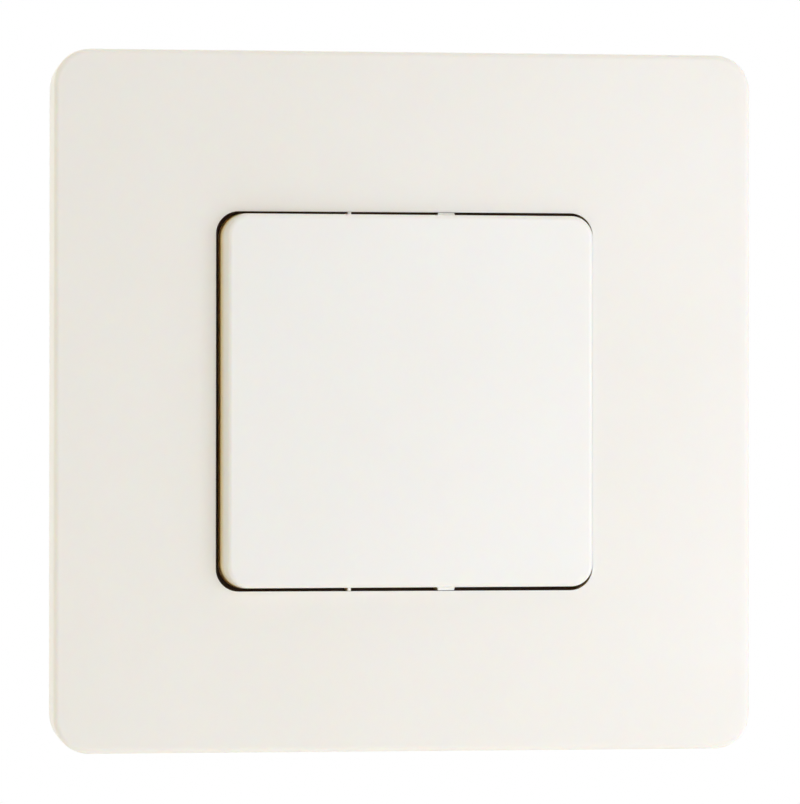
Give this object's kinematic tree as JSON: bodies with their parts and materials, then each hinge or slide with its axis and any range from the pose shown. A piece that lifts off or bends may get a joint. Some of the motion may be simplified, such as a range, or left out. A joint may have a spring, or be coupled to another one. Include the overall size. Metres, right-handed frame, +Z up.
{
  "type": "two-way light switch",
  "caption": "Square flush wall switch: a rocker that tilts in the window of a cover plate, over a changeover contact in a box-mounted housing with wire entries at the back.",
  "frame": {"origin": "centre between the box screws, in the wall plane on which the cover plate's rim and the support frame lie", "axes": "+X right and +Z up as the switch hangs, +Y into the wall, so the front faces -Y"},
  "size_m": [0.0844, 0.0317, 0.0844],
  "materials": {
    "plate_ivory": "satin ivory thermoplastic",
    "rocker_ivory": "satin ivory thermoplastic",
    "zinc_plated_steel": "zinc-plated sheet steel",
    "housing_brown": "dark brown thermoset moulding",
    "actuator_grey": "self-lubricating grey moulding",
    "plunger_nylon": "natural nylon",
    "spring_steel": "drawn spring wire",
    "contact_copper": "rolled copper alloy",
    "contact_silver": "silver alloy",
    "terminal_brass": "stamped brass",
    "screw_steel": "yellow-passivated steel",
    "rivet_brass": "brass"
  },
  "bodies": {
    "switch_body": {"cover_frame": "plate_ivory", "support_frame": "zinc_plated_steel", "mechanism_base": "housing_brown", "mechanism_cover": "housing_brown", "fixed_contact_1": "contact_silver", "fixed_contact_2": "contact_silver", "common_terminal": "terminal_brass", "traveller_terminal_1": "terminal_brass", "traveller_terminal_2": "terminal_brass", "terminal_screw_common": "screw_steel", "terminal_screw_1": "screw_steel", "terminal_screw_2": "screw_steel", "housing_rivet_1": "rivet_brass", "housing_rivet_2": "rivet_brass"},
    "rocker": {"rocker_cap": "rocker_ivory", "actuator": "actuator_grey", "plunger_spring": "spring_steel"},
    "plunger_pin": {"plunger": "plunger_nylon"},
    "changeover": {"contact_bar": "contact_copper", "moving_contact_1": "contact_silver", "moving_contact_2": "contact_silver"}
  },
  "joints": [
    {"name": "rocker_tilt", "type": "hinge", "parent": "switch_body", "child": "rocker", "pos_m": [0, -0.003, 0], "axis": [0, 0, -1], "range_deg": [0, 4.6]},
    {"name": "changeover_tilt", "type": "hinge", "parent": "switch_body", "child": "changeover", "pos_m": [0, 0.01, 0], "axis": [0, 0, 1], "range_deg": [0, 8.93]},
    {"name": "plunger_slide", "type": "slide", "parent": "rocker", "child": "plunger_pin", "axis": [0.0401, -0.9992, 0], "range_m": [0, 0.001], "stiffness_N_per_m": 200, "springref_m": -0.002, "deforming": ["plunger_spring"]}
  ],
  "couplings": [
    {"joint": "changeover_tilt", "follows": "rocker_tilt", "ratio": 1.9391}
  ]
}
